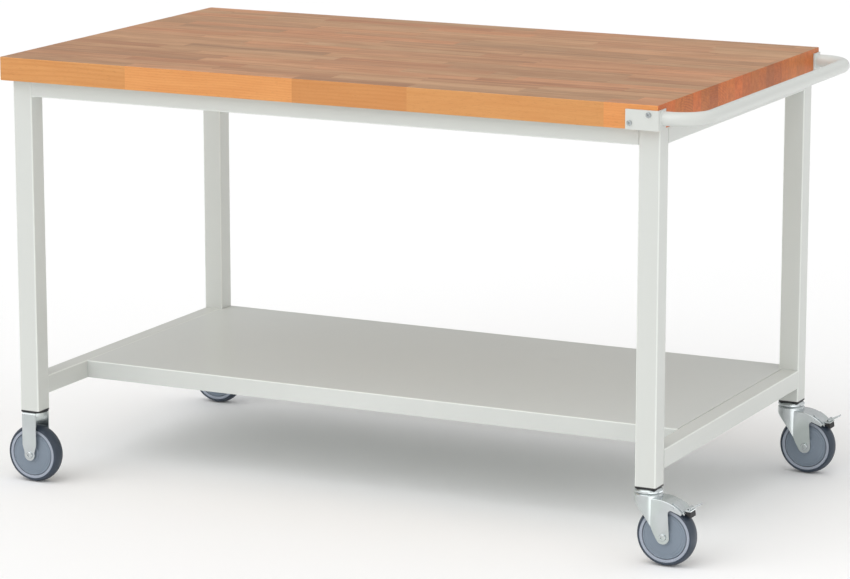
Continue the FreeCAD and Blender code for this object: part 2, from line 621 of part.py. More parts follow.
def make_brake_pedal():
    """Lever in the fork's window: a curved cap, two cheeks on the pin, the pad's carrier and a foot tab."""
    outside = WINDOW_HALF_WIDTH - PEDAL_SIDE_GAP
    inside = outside - PEDAL_SHEET
    start, end = WINDOW_START + PEDAL_SIDE_GAP, 83.8
    cap = side_prism(cap_outline(start, end), -outside, outside)
    corners = [edge for edge in parallel_edges(cap, Z_AXIS) if edge.CenterOfMass.x < start + 0.5]
    cap = cap.makeFillet(3.0, corners)
    cheek = outline([(55.5, 126.0), (58.2, 128.6), (59.4, 131.2), (70.0, 127.0), (78.0, 121.0), (end, 115.5),
                     (end, 111.5), (76.0, 117.0), (68.0, 121.0), (63.5, 121.2), (57.0, 121.2)])
    carrier = side_prism(outline([(77.0, 122.0), (84.0, 120.6), (95.0, 120.0), (95.0, 118.0), (84.0, 118.0),
                                  (77.0, 120.5)]), -PAD_HALF_WIDTH, PAD_HALF_WIDTH)
    knuckle = cylinder(KNUCKLE_RADIUS, KNUCKLE_X, -PEDAL_TAB_HALF_WIDTH - 2, KNUCKLE_Z,
                       2 * PEDAL_TAB_HALF_WIDTH + 4, Y_AXIS)
    tab_profile = outline([(88.0, 119.5), (90.5, 119.5), (99.0, 125.5), (113.0, 133.5), (112.0, 136.0),
                           (97.5, 128.8), (89.0, 124.5)])
    tab = side_prism(tab_profile, -PEDAL_TAB_HALF_WIDTH, PEDAL_TAB_HALF_WIDTH)
    corners = [edge for edge in parallel_edges(tab, at(-1.0, 2.5).normalize())
               if edge.CenterOfMass.x > 112]
    tab = tab.makeFillet(4.0, corners)
    pedal = cap.fuse([side_prism(cheek, -outside, -inside), side_prism(cheek, inside, outside),
                      carrier, knuckle, tab])
    pedal = pedal.cut(cylinder(KNUCKLE_BORE, KNUCKLE_X, -60, KNUCKLE_Z, 120, Y_AXIS))
    bore = PEDAL_PIN_RADIUS + RUNNING_GAP
    return pedal.cut(cylinder(bore, PEDAL_PIN_X, -60, PEDAL_PIN_Z, 120, Y_AXIS)).removeSplitter()


def cap_outline(start, end):
    """Band above the fender's roof, concentric with it, from one x to the other."""
    centre_x, centre_z = FENDER_START, CROWN_TOP - FENDER_RADIUS
    outer = FENDER_RADIUS + CAP_RISE
    inner = outer - PEDAL_SHEET

    def on_arc(radius, x):
        return (x, centre_z + math.sqrt(radius ** 2 - (x - centre_x) ** 2))

    middle = (start + end) / 2
    return [arc(on_arc(outer, start), on_arc(outer, middle), on_arc(outer, end)),
            line(on_arc(outer, end), on_arc(inner, end)),
            arc(on_arc(inner, end), on_arc(inner, middle), on_arc(inner, start)),
            line(on_arc(inner, start), on_arc(outer, start))]


def make_brake_pad():
    profile = outline([(84.5, 118.0), (94.0, 118.0), (95.5, 105.5), (85.5, 112.5)])
    return side_prism(profile, -PAD_HALF_WIDTH, PAD_HALF_WIDTH)


def make_pedal_pin():
    pin = cylinder(PEDAL_PIN_RADIUS, PEDAL_PIN_X, -FORK_HALF_WIDTH, PEDAL_PIN_Z, 2 * FORK_HALF_WIDTH, Y_AXIS)
    for low in (-FORK_HALF_WIDTH - 1, FORK_HALF_WIDTH):
        pin = pin.fuse(cylinder(PEDAL_PIN_RADIUS + 1.2, PEDAL_PIN_X, low, PEDAL_PIN_Z, 1, Y_AXIS))
    return pin


def save_wheel(label, place, axle_x, fork_half):
    """Write the pieces of one wheel; place is the caster's centre line on the floor."""
    axle = place + Vector(axle_x, 0, WHEEL_RADIUS)
    inner_half = fork_half - FORK_SHEET - HOLE_CLEARANCE
    pieces = {"tyre": make_tyre(), "wheel_core": make_wheel_core(), "thread_guards": make_thread_guards(),
              "wheel_bearings": make_wheel_bearings(), "axle_tube": make_axle_tube(inner_half),
              "axle": make_axle(fork_half)}
    for piece, shape in pieces.items():
        save(piece + "_" + label, moved(shape, axle))


def moved(shape, offset):
    if isinstance(shape, list):
        return [solid.translated(offset) for solid in shape]
    return shape.translated(offset)


def make_casters():
    inserts, bolts, balls = [], [], []
    for end, y in LEG_Y.items():
        for side, x in LEG_X.items():
            label = end + "_" + side
            place = Vector(x, y, 0)
            inserts.append(make_insert().translated(place))
            if side == "left":
                cup_low = MOUNT_Z - FORK_SHEET - FIXED_CUP_HEIGHT + 2
                bolts.append(make_caster_bolt(cup_low).translated(place))
                save("fixed_fork_" + label, moved(make_fixed_fork(), place))
                save_wheel(label, place, 0.0, FIXED_HALF_WIDTH)
                continue
            bolts.append(make_caster_bolt(KINGPIN_BOTTOM).translated(place))
            balls.extend(moved(make_swivel_balls(), place))
            save("swivel_head_" + label, moved(make_swivel_head(), place))
            save("swivel_fork_" + label, moved(make_swivel_fork(), place))
            save("brake_pedal_" + label, moved(make_brake_pedal(), place))
            save("brake_pad_" + label, moved(make_brake_pad(), place))
            save("pedal_pin_" + label, moved(make_pedal_pin(), place))
            save_wheel(label, place, TRAIL, FORK_HALF_WIDTH)
    save("leg_inserts", inserts)
    save("caster_bolts", bolts)
    save("swivel_balls", balls)


def make_screws():
    handle_screws = [pan_screw(point, direction, SCREW_LENGTH)
                     for side in (-1, 1) for point, direction in bracket_screw_places(side)]
    save("handle_screws", handle_screws)
    save("worktop_screws", [pan_screw(point, direction, SCREW_LENGTH - 1)
                            for point, direction in tab_screw_places()])
    shelf_screws = [pan_screw(point, direction, SHEET + TUBE_WALL + 4)
                    for side in ("left", "right") for point, direction in shelf_screw_places(side)]
    save("shelf_screws", shelf_screws)


save("worktop", make_worktop())
make_legs()
make_top_rails()
make_side_rails()
save("shelf_tray", make_shelf_tray())
save("shelf_stiffener", make_shelf_stiffener())
save("fixing_tabs", make_tabs())
save("push_handle", make_push_handle())
save("handle_bracket_front", make_handle_bracket(-1))
save("handle_bracket_rear", make_handle_bracket(1))
make_screws()
make_casters()
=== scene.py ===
"""Mobile workbench: wooden top, painted tube frame, steel shelf, push handle and casters.

The design is loaded as a fixed frame. Parts whose shape is already right keep their mesh, merged and
with softened edges; the rest are surfaces worked out here from the frame's own sizes. Metres, +Z up,
+X towards the push handle, -Y the front.
"""
import json
import math

import bmesh
import bpy
import numpy as np
from bpy.props import FloatProperty, FloatVectorProperty, PointerProperty
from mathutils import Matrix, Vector

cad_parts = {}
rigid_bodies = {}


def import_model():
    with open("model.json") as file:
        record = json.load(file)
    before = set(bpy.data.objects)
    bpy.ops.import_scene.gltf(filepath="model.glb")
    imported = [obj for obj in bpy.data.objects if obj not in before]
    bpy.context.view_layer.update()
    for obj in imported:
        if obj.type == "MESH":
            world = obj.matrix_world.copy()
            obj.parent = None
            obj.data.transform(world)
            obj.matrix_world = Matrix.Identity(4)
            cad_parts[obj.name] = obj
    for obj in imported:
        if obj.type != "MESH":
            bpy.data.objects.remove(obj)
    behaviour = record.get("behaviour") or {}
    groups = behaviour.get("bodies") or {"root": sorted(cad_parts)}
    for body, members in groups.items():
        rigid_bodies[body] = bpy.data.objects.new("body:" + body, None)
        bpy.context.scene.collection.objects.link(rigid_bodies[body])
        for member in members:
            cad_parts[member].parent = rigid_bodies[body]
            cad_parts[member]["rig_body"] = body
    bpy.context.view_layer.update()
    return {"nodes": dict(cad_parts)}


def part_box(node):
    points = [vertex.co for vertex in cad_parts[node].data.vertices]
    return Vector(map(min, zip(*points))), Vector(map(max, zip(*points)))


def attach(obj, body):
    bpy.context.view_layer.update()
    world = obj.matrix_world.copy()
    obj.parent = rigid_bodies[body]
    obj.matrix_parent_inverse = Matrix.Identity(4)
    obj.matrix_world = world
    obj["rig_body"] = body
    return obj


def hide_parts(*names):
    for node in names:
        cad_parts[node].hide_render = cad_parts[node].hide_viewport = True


bl_info = {
    "name": "Mobile Workbench",
    "version": (1, 0, 0),
    "blender": (4, 5, 0),
    "location": "View3D > Sidebar > Workbench",
    "description": "Builds a mobile workbench with a beech top, steel frame and casters",
    "category": "Object",
}

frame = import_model()
MM = 0.001
RIGHT_ENDS = ("front_right", "rear_right")
LEFT_ENDS = ("front_left", "rear_left")
ENDS = RIGHT_ENDS + LEFT_ENDS

JOINT_WIDTH = 0.0006          # glue joint between two blocks of the top
RING_SPACING = 0.0052         # one growth ring
HANDLE_BEND = 62 * MM         # centre-line radius of the handle's two bends
HANDLE_WELD = 2.2 * MM        # leg length of the weld round the handle's ends
BEAD_CLEARANCE = 4 * MM       # a weld bead stops this far from a tube's corners
RIPPLE_LENGTH = 3.2 * MM      # one ripple of a weld bead
RIPPLE_HEIGHT = 0.4 * MM
STUDIO_REACH = 60.0           # half the side of the floor
BACKDROP_RADIUS = 58.0
CAMERA_PLACE = (3.3186, -6.7528, 2.0048)
# reflector cards: name, then x from and to and y from and to
CARDS = (("card_right", (0.86, 1.25, -1.55, 0.15)), ("card_left", (-0.62, -0.30, -1.55, -0.55)))
# lights: name, direction that the light comes from, spread in degrees, strength
SUNS = (("key", (-0.22, -0.50, 0.60), 70.0, 1.15), ("low", (-0.25, -0.95, 0.30), 40.0, 0.20),
        ("side", (0.95, -0.25, 0.30), 40.0, 0.19))


# Surfaces

def mesh_piece(name, points, faces, sharp_angle=30.0):
    """A smooth-shaded object from vertex and face arrays; edges sharper than the angle stay hard."""
    mesh = bpy.data.meshes.new(name)
    mesh.from_pydata(points, [], faces)
    mesh.polygons.foreach_set("use_smooth", np.ones(len(mesh.polygons), bool))
    mesh.set_sharp_from_angle(angle=math.radians(sharp_angle))
    mesh.update()
    piece = bpy.data.objects.new(name, mesh)
    bpy.context.scene.collection.objects.link(piece)
    return piece


def grid_faces(rows, columns, wrap_rows, wrap_columns):
    """Quads between neighbours of a rows by columns grid of vertices, joined round where it wraps."""
    down = np.arange(rows if wrap_rows else rows - 1)[:, None]
    across = np.arange(columns if wrap_columns else columns - 1)[None, :]
    below, beside = (down + 1) % rows, (across + 1) % columns
    corners = (down * columns + across, down * columns + beside,
               below * columns + beside, below * columns + across)
    return np.stack([np.broadcast_to(c, (down.size, across.size)) for c in corners], -1).reshape(-1, 4)


def face_outwards(piece):
    """Turn the faces of a closed mesh outwards."""
    work = bmesh.new()
    work.from_mesh(piece.data)
    bmesh.ops.recalc_face_normals(work, faces=work.faces)
    work.to_mesh(piece.data)
    work.free()


def closed_grid(name, grid, sharp_angle=30.0):
    """A ring-shaped closed surface: the (rows, columns, 3) grid wraps both ways."""
    rows, columns = grid.shape[:2]
    piece = mesh_piece(name, grid.reshape(-1, 3), grid_faces(rows, columns, True, True), sharp_angle)
    face_outwards(piece)
    return piece


def capped_grid(name, grid, sharp_angle=30.0):
    """A closed surface from a stack of loops: the columns wrap, and the two end loops are filled."""
    rows, columns = grid.shape[:2]
    faces = grid_faces(rows, columns, False, True).tolist()
    faces.append(list(range(columns))[::-1])
    faces.append(list(range((rows - 1) * columns, rows * columns)))
    piece = mesh_piece(name, grid.reshape(-1, 3), faces, sharp_angle)
    face_outwards(piece)
    return piece


def rounded_rectangle(half_x, half_y, radius, steps=6):
    """Loop of a rectangle with quarter-circle corners: each corner's centre plus radius (cos, sin)."""
    turn = np.linspace(0, math.pi / 2, steps + 1)
    start = np.arange(4)[:, None] * math.pi / 2
    angle = start + turn
    corner_x = np.array([1, -1, -1, 1])[:, None] * (half_x - radius)
    corner_y = np.array([1, 1, -1, -1])[:, None] * (half_y - radius)
    loop = np.stack([corner_x + radius * np.cos(angle), corner_y + radius * np.sin(angle)], -1)
    return loop.reshape(-1, 2)


def soft_outline(corners, radius, steps=4):
    """Closed outline with each corner replaced by a quadratic curve that starts radius before it and
    ends radius after it: (1-t)^2 a + 2t(1-t) corner + t^2 b."""
    corner = np.asarray(corners, float)
    before, after = np.roll(corner, 1, 0) - corner, np.roll(corner, -1, 0) - corner
    room_before, room_after = np.linalg.norm(before, axis=1), np.linalg.norm(after, axis=1)
    reach = np.minimum(np.minimum(room_before, room_after) * 0.45, radius)
    a = corner + before * (reach / room_before)[:, None]
    b = corner + after * (reach / room_after)[:, None]
    t = np.linspace(0, 1, steps + 1)[None, :, None]
    curve = (1 - t) ** 2 * a[:, None] + 2 * t * (1 - t) * corner[:, None] + t ** 2 * b[:, None]
    return curve.reshape(-1, 2)


def lathe(name, outline, centre, segments=128, sharp_angle=30.0):
    """Turn a closed (radius, y) outline about the line through centre along Y:
    x = radius cos a, z = radius sin a."""
    angle = np.linspace(0, 2 * math.pi, segments, endpoint=False)[:, None]
    radius, y = outline[None, :, 0], outline[None, :, 1]
    grid = np.stack([radius * np.cos(angle), np.broadcast_to(y, (segments, outline.shape[0])),
                     radius * np.sin(angle)], -1)
    return closed_grid(name, grid + np.asarray(centre), sharp_angle)


def straight_tube(name, low, high, axis, radius, wall):
    """Rectangular tube: the outer loop runs from end to end along the axis, the inner loop back."""
    low, high = np.asarray(low, float), np.asarray(high, float)
    across = [i for i in range(3) if i != axis]
    middle, half = (low + high) / 2, (high - low) / 2
    outer = rounded_rectangle(half[across[0]], half[across[1]], radius)
    inner = rounded_rectangle(half[across[0]] - wall, half[across[1]] - wall, radius - wall)
    grid = np.zeros((4, len(outer), 3))
    grid[0:2][..., across] = outer
    grid[2:4][..., across] = inner
    grid[[0, 3], :, axis] = -half[axis]
    grid[[1, 2], :, axis] = half[axis]
    piece = closed_grid(name, grid + middle)
    weight_normals(piece)
    return piece


def sweep(name, path, forward, radius, sides=40):
    """Closed round bar along a level path: each ring is centre + radius (cos a side + sin a up), where
    side is forward x up."""
    up = np.array([0.0, 0.0, 1.0])
    side = np.cross(forward, up)
    angle = np.linspace(0, 2 * math.pi, sides, endpoint=False)[None, :, None]
    grid = path[:, None] + radius * (np.cos(angle) * side[:, None] + np.sin(angle) * up)
    return capped_grid(name, grid, 50.0)


def weight_normals(piece):
    """Shade flat faces flat and let only the rounded strips between them blend."""
    blend = piece.modifiers.new("weighted", "WEIGHTED_NORMAL")
    blend.keep_sharp = True


def refined(node, soften=0.0004, sharp_angle=32.0):
    """A part's own shape with its loose triangles merged, flat areas joined and edges softened; it
    stands for that part and moves with it."""
    source = frame["nodes"][node]
    mesh = source.data
    points = np.zeros(len(mesh.vertices) * 3)
    mesh.vertices.foreach_get("co", points)
    mesh.calc_loop_triangles()
    corners = np.zeros(len(mesh.loop_triangles) * 3, int)
    mesh.loop_triangles.foreach_get("vertices", corners)
    merged, index = np.unique(np.round(points.reshape(-1, 3), 7), axis=0, return_inverse=True)
    faces = index.reshape(-1)[corners].reshape(-1, 3)
    whole = (faces[:, 0] != faces[:, 1]) & (faces[:, 1] != faces[:, 2]) & (faces[:, 2] != faces[:, 0])
    piece = mesh_piece(node + "_finished", merged, faces[whole].tolist(), sharp_angle)
    work = bmesh.new()
    work.from_mesh(piece.data)
    bmesh.ops.dissolve_limit(work, angle_limit=math.radians(0.5), verts=work.verts, edges=work.edges)
    work.to_mesh(piece.data)
    work.free()
    if soften:
        bevel = piece.modifiers.new("softened", "BEVEL")
        bevel.width = soften
        bevel.segments = 2
        bevel.limit_method = "ANGLE"
        bevel.angle_limit = math.radians(sharp_angle)
        bevel.harden_normals = True
    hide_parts(node)
    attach(piece, source["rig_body"])
    return piece


def stand_in(piece, *nodes):
    """piece takes the place of these parts and moves with their body."""
    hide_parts(*nodes)
    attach(piece, frame["nodes"][nodes[0]]["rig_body"])


def paint_piece(piece, material):
    """Give a piece this one material."""
    piece.data.materials.clear()
    piece.data.materials.append(material)


# Materials

class Value:
    """A socket of a material, with arithmetic that adds Math nodes."""

    def __init__(self, paint, socket):
        self.paint = paint
        self.socket = socket

    def maths(self, operation, first, second=0.0):
        return self.paint.node("ShaderNodeMath", {"operation": operation}, {0: first, 1: second})

    def __add__(self, other):
        return self.maths("ADD", self, other)

    def __sub__(self, other):
        return self.maths("SUBTRACT", self, other)

    def __rsub__(self, other):
        return self.maths("SUBTRACT", other, self)

    def __mul__(self, other):
        return self.maths("MULTIPLY", self, other)

    def __truediv__(self, other):
        return self.maths("DIVIDE", self, other)

    __radd__ = __add__
    __rmul__ = __mul__

    def floor(self):
        return self.maths("FLOOR", self)

    def size(self):
        return self.maths("ABSOLUTE", self)

    def over(self, limit):
        return self.maths("GREATER_THAN", self, limit)

    def root(self):
        return self.maths("SQRT", self)

    def sine(self):
        return self.maths("SINE", self)


class Nodes:
    """A node tree and the nodes that this file uses in it."""

    def __init__(self, tree):
        self.tree = tree

    def node(self, kind, settings=None, inputs=None, output=0):
        """Add a node: its settings first, ramp stops among them, then its sockets' values or links."""
        made = self.tree.nodes.new(kind)
        for key, value in (settings or {}).items():
            if key == "stops":
                self.set_stops(made.color_ramp, value)
            else:
                setattr(made, key, value)
        for key, value in (inputs or {}).items():
            self.feed(made.inputs[key], value)
        return Value(self, made.outputs[output])

    def feed(self, socket, value):
        """Link a Value to a socket, or set the socket to a plain value."""
        if isinstance(value, Value):
            self.tree.links.new(value.socket, socket)
        else:
            socket.default_value = value

    def set_stops(self, ramp, stops):
        """Give a colour ramp its (position, colour) stops."""
        while len(ramp.elements) < len(stops):
            ramp.elements.new(0.5)
        for element, (position, colour) in zip(ramp.elements, stops):
            element.position = position
            element.color = colour

    def place(self):
        """Object coordinates."""
        return self.node("ShaderNodeTexCoord", output="Object")

    def axes(self, vector):
        """The x, y and z of a vector."""
        return [self.node("ShaderNodeSeparateXYZ", None, {0: vector}, output=i) for i in range(3)]

    def vector(self, x, y, z):
        return self.node("ShaderNodeCombineXYZ", None, {0: x, 1: y, 2: z})

    def stretch(self, vector, scale):
        return self.node("ShaderNodeVectorMath", {"operation": "MULTIPLY"}, {0: vector, 1: scale})

    def noise(self, vector, scale, detail=2.0, rough=0.5):
        return self.node("ShaderNodeTexNoise", None,
                         {"Vector": vector, "Scale": scale, "Detail": detail, "Roughness": rough})

    def chance(self, vector):
        """A random colour for each whole-number place; its channels are three random numbers."""
        return self.node("ShaderNodeTexWhiteNoise", {"noise_dimensions": "3D"}, {"Vector": vector},
                         output="Color")

    def ramp(self, factor, *stops):
        return self.node("ShaderNodeValToRGB", {"stops": stops}, {"Fac": factor})

    def between(self, factor, low, high):
        """Smooth step from 0 at low to 1 at high."""
        return self.node("ShaderNodeMapRange", {"interpolation_type": "SMOOTHSTEP"},
                         {"Value": factor, "From Min": low, "From Max": high})

    def mix(self, factor, first, second, how="MIX"):
        return self.node("ShaderNodeMix", {"data_type": "RGBA", "blend_type": how},
                         {0: factor, 6: first, 7: second}, output=2)

    def wood(self, grain, low, high, light, dark):
        """Light wood where the grain is below low, turning to dark wood where it is above high."""
        return self.mix(self.between(grain, low, high), opaque(light), opaque(dark))

    def bump(self, height, depth, strength=1.0):
        return self.node("ShaderNodeBump", None,
                         {"Height": height, "Distance": depth, "Strength": strength})


class Paint(Nodes):
    """One procedural material."""

    def __init__(self, name):
        self.material = bpy.data.materials.new(name)
        self.material.use_nodes = True
        super().__init__(self.material.node_tree)
        self.shader = self.tree.nodes["Principled BSDF"]

    def finish(self, **inputs):
        """Set the shader's own sockets; an underscore in a keyword stands for a space."""
        for key, value in inputs.items():
            self.feed(self.shader.inputs[key.replace("_", " ")], value)
        return self.material


def opaque(colour):
    """The colour with full opacity."""
    return (*colour[:3], 1.0)


def shade(colour, factor):
    """The colour made darker or lighter by a factor."""
    return opaque([channel * factor for channel in colour[:3]])


def beech(settings):
    """Edge-glued beech: staves run along X, each cut into blocks with their own tone and their own
    growth rings, which are circles about a centre far below the block."""
    paint = Paint("oiled_beech")
    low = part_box("worktop")[0]
    place = paint.place()
    x, y, z = paint.axes(place)
    across = (y - low[1]) / settings.stave_width
    row = across.floor()
    row_chance = paint.axes(paint.chance(paint.vector(row, 7.0, 3.0)))
    phase = row_chance[0] * row
    steps = (x - low[0]) / settings.block_length + phase
    along = steps + (steps * 2.7 + row_chance[1] * row).sine() * 0.14
    block = along.floor()
    tone, lean, depth = paint.axes(paint.chance(paint.vector(row, block, 11.0)))
    spin = paint.axes(paint.chance(paint.vector(block, row, 29.0)))

    wander = paint.noise(paint.stretch(place, (3.0, 20.0, 20.0)), 1.0, 2.0)
    centre_y = (lean - 0.5) * 0.16
    centre_z = (depth * 0.9 + 0.35) * -0.12
    from_y = (across - row - 0.5) * settings.stave_width - centre_y
    from_z = z - (low[2] + 0.025) - centre_z
    ring = (from_y * from_y + from_z * from_z).root() + wander * 0.014 + spin[0] * 0.05
    bands = ((ring * (2 * math.pi / RING_SPACING)).sine() + 1.0) * 0.5
    shifted = paint.node("ShaderNodeVectorMath", {"operation": "ADD"},
                         {0: place, 1: paint.vector(tone * 9.0, depth * 5.0, lean * 5.0)})
    streak = paint.noise(paint.stretch(shifted, (5.0, 110.0, 110.0)), 1.0, 4.0, 0.65)
    patch = paint.noise(paint.stretch(shifted, (9.0, 42.0, 42.0)), 1.0, 2.0, 0.6)
    fine = paint.noise(paint.stretch(shifted, (26.0, 700.0, 700.0)), 1.0, 3.0, 0.6)
    fleck = paint.noise(paint.stretch(shifted, (110.0, 900.0, 900.0)), 1.0, 1.0)
    fleck = paint.between(fleck, 0.60, 0.72)

    normal = paint.axes(paint.node("ShaderNodeTexCoord", output="Normal"))
    flat = normal[2].over(0.7)
    end = normal[0].size().over(0.7)

    grain = bands * bands * (spin[2] * 0.14 + 0.03) + streak * 0.45 + patch * 0.30 + fine * 0.22
    # painted shade: the working face takes darker wood colours than the long edges, for the weaker light
    # from above; the edges' brighter wood is the lit copy of the same beech
    side = paint.wood(grain, 0.28, 0.76, settings.side_light, settings.side_dark)
    top = paint.wood(grain, 0.30, 0.74, settings.shaded_top_light, settings.shaded_top_dark)
    butt = paint.wood(grain, 0.26, 0.80, settings.end_light, settings.end_dark)
    colour = paint.mix(flat, side, top)
    colour = paint.mix(end, colour, butt)
    raw = paint.mix(grain, opaque(settings.raw_light), opaque(settings.raw_dark))
    colour = paint.mix((normal[2] * -1.0).over(0.7), colour, raw)
    tint = paint.ramp(tone, (0.0, (0.70, 0.66, 0.62, 1)), (0.35, (0.93, 0.92, 0.90, 1)),
                      (0.7, (1.03, 1.02, 1.01, 1)), (1.0, (1.12, 1.11, 1.09, 1)))
    tone_share = flat * 0.15 + end * 0.45 + 0.55
    colour = paint.mix(tone_share, colour, paint.mix(1.0, colour, tint, "MULTIPLY"))
    warm = paint.mix(1.0, colour, (1.04, 0.92, 0.84, 1), "MULTIPLY")
    pale = paint.mix(1.0, colour, (0.96, 1.05, 1.06, 1), "MULTIPLY")
    colour = paint.mix(spin[1], warm, pale)
    colour = paint.mix(fleck * 0.30, colour, shade(settings.side_dark, 0.50))

    seam = (across - row - 0.5).size().over(0.5 - JOINT_WIDTH / 2 / settings.stave_width)
    butt_joint = (along - block - 0.5).size().over(0.5 - JOINT_WIDTH / 2 / settings.block_length)
    joint = paint.node("ShaderNodeMath", {"operation": "MAXIMUM"}, {0: seam, 1: butt_joint})
    colour = paint.mix(joint * 0.45, colour, shade(settings.side_dark, 0.4))
    height = fine * 0.4 + fleck * -0.6 + joint * -1.0
    return paint.finish(Base_Color=colour, Roughness=streak * 0.16 + flat * 0.04 + 0.36,
                        Normal=paint.bump(height, 0.00012, 0.6), Specular_IOR_Level=0.35,
                        Coat_Weight=0.06, Coat_Roughness=0.3)


def powder_coat(name, colour, roughness, corners=False):
    """Baked powder paint: a faint orange-peel surface over even colour. With corners on, a painted
    highlight:
    the colour turns paler where a tube's flat faces turn into each other."""
    paint = Paint(name)
    place = paint.place()
    peel = paint.noise(place, 900.0, 2.0)
    cloud = paint.noise(place, 7.0, 2.0)
    coat = paint.mix(cloud * 0.10, opaque(colour), shade(colour, 0.90))
    speck = paint.between(paint.noise(place, 2600.0, 0.0), 0.70, 0.78)
    coat = paint.mix(speck * 0.12, coat, shade(colour, 0.8))
    if corners:
        # painted highlight: paler colour where the normal leans between two axes, on rounded tube
        # corners and folds
        nx, ny, nz = paint.axes(paint.node("ShaderNodeTexCoord", output="Normal"))
        painted_corner_highlight = paint.between((nx * ny).size() + (ny * nz).size() + (nz * nx).size(), 0.05, 0.5)
        coat = paint.mix(painted_corner_highlight * 0.75, coat, shade(colour, 1.34))
    return paint.finish(Base_Color=coat,
                        Roughness=peel * 0.10 + cloud * 0.05 + (roughness - 0.075),
                        Normal=paint.bump(peel, 0.00006, 0.35), Coat_Weight=0.2, Coat_Roughness=0.18)


def zinc_plate(name, colour, roughness):
    """Bright zinc on pressed steel: faintly cloudy, with fine rolling lines and a yellow-green cast here
    and there from the passivation."""
    paint = Paint(name)
    place = paint.place()
    cloud = paint.noise(place, 30.0, 3.0)
    lines = paint.noise(paint.stretch(place, (700.0, 700.0, 40.0)), 1.0, 2.0)
    tone = paint.mix(paint.between(cloud, 0.30, 0.70), shade(colour, 0.93), shade(colour, 1.05))
    cast = (colour[0] * 0.97, colour[1] * 1.02, colour[2] * 0.96, 1)
    tone = paint.mix(paint.between(paint.noise(place, 18.0, 1.0), 0.45, 0.7) * 0.6, tone, cast)
    return paint.finish(Base_Color=tone, Metallic=0.92,
                        Roughness=cloud * 0.10 + lines * 0.08 + (roughness - 0.09),
                        Normal=paint.bump(lines, 0.00001, 0.3))


def moulded(name, colour, roughness, grain_scale=1500.0, depth=0.00004):
    """Moulded plastic or rubber: even colour with a fine texture and slightly uneven gloss."""
    paint = Paint(name)
    place = paint.place()
    grain = paint.noise(place, grain_scale, 2.0)
    cloud = paint.noise(place, 35.0, 2.0)
    tone = paint.mix(cloud * 0.35, opaque(colour), shade(colour, 0.82))
    return paint.finish(Base_Color=tone, Roughness=grain * 0.08 + cloud * 0.12 + (roughness - 0.1),
                        Normal=paint.bump(grain, depth, 0.5))


def tread_rubber(settings):
    """Elastic tyre rubber: dark blue-grey, with scuffs that run round the tread."""
    paint = Paint("tyre_rubber")
    place = paint.place()
    grain = paint.noise(place, 1200.0, 2.0)
    scuff = paint.noise(paint.stretch(place, (60.0, 700.0, 60.0)), 1.0, 3.0)
    tone = paint.mix(paint.between(scuff, 0.45, 0.75) * 0.4, opaque(settings.tyre_colour),
                     shade(settings.tyre_colour, 1.5))
    return paint.finish(Base_Color=tone, Roughness=scuff * 0.14 + 0.42,
                        Normal=paint.bump(grain + scuff, 0.00005, 0.5))


def ground_steel():
    """Ground bearing steel, with lines that run round the ring."""
    paint = Paint("ground_steel")
    place = paint.place()
    lines = paint.noise(paint.stretch(place, (200.0, 2500.0, 200.0)), 1.0, 2.0)
    tone = paint.mix(lines, (0.42, 0.42, 0.43, 1), (0.66, 0.66, 0.67, 1))
    return paint.finish(Base_Color=tone, Metallic=0.95, Roughness=lines * 0.15 + 0.2)


# Sizes and colours that a user would change

def length(name, text, default):
    return FloatProperty(name=name, description=text, default=default, min=0.0, unit="LENGTH",
                         precision=4)


def swatch(name, text, default):
    return FloatVectorProperty(name=name, description=text, default=default, subtype="COLOR",
                               min=0.0, max=1.0)


class WorktopSettings(bpy.types.PropertyGroup):
    edge_radius: length("Edge radius", "Rounding of the worktop's edges", 0.0015)
    stave_width: length("Stave width", "Width of one glued stave", 0.045)
    block_length: length("Block length", "Length of the blocks in a stave", 0.335)
    side_light: swatch("Side, light", "Light wood on the long edges", (1.0, 0.475, 0.165))
    side_dark: swatch("Side, dark", "Dark wood on the long edges", (0.86, 0.355, 0.105))
    # the top's colours are a painted-shade copy of the edges' beech, darker for the weaker light from
    # above
    shaded_top_light: swatch("Top, light", "Light wood on the working face", (0.60, 0.320, 0.165))
    shaded_top_dark: swatch("Top, dark", "Dark wood on the working face", (0.37, 0.170, 0.074))
    end_light: swatch("End grain, light", "Light wood on the cut ends", (0.66, 0.175, 0.020))
    end_dark: swatch("End grain, dark", "Dark wood on the cut ends", (0.38, 0.084, 0.009))
    raw_light: swatch("Underside, light", "Light wood on the unoiled underside", (0.74, 0.64, 0.53))
    raw_dark: swatch("Underside, dark", "Dark wood on the unoiled underside", (0.60, 0.49, 0.38))


class FrameSettings(bpy.types.PropertyGroup):
    corner_radius: length("Corner radius", "Outer corner radius of the tubes", 0.003)
    wall: length("Wall", "Wall thickness of the tubes", 0.002)
    bead: length("Weld bead", "Leg length of the weld beads inside the corners", 0.003)
    paint: swatch("Paint", "Powder coat of the frame and shelf", (0.625, 0.645, 0.615))
    shelf_paint: swatch("Shelf paint", "Powder coat of the shelf", (0.62, 0.643, 0.618))
    gloss: FloatProperty(name="Roughness", description="Roughness of the powder coat", default=0.36,
                         min=0.0, max=1.0, subtype="FACTOR")


class CasterSettings(bpy.types.PropertyGroup):
    zinc: swatch("Zinc", "Plated steel of forks and heads", (0.565, 0.600, 0.610))
    tyre_colour: swatch("Tyre", "Rubber of the tyres", (0.030, 0.044, 0.066))
    rim_colour: swatch("Rim", "Plastic of the wheel rims", (0.35, 0.39, 0.46))
    guard_colour: swatch("Guard", "Plastic of the discs that close the wheels", (0.20, 0.245, 0.30))
    insert_colour: swatch("Insert", "Plastic of the leg inserts", (0.012, 0.012, 0.014))
    dish: length("Dish", "How far a guard's middle stands out from its edge", 0.0023)


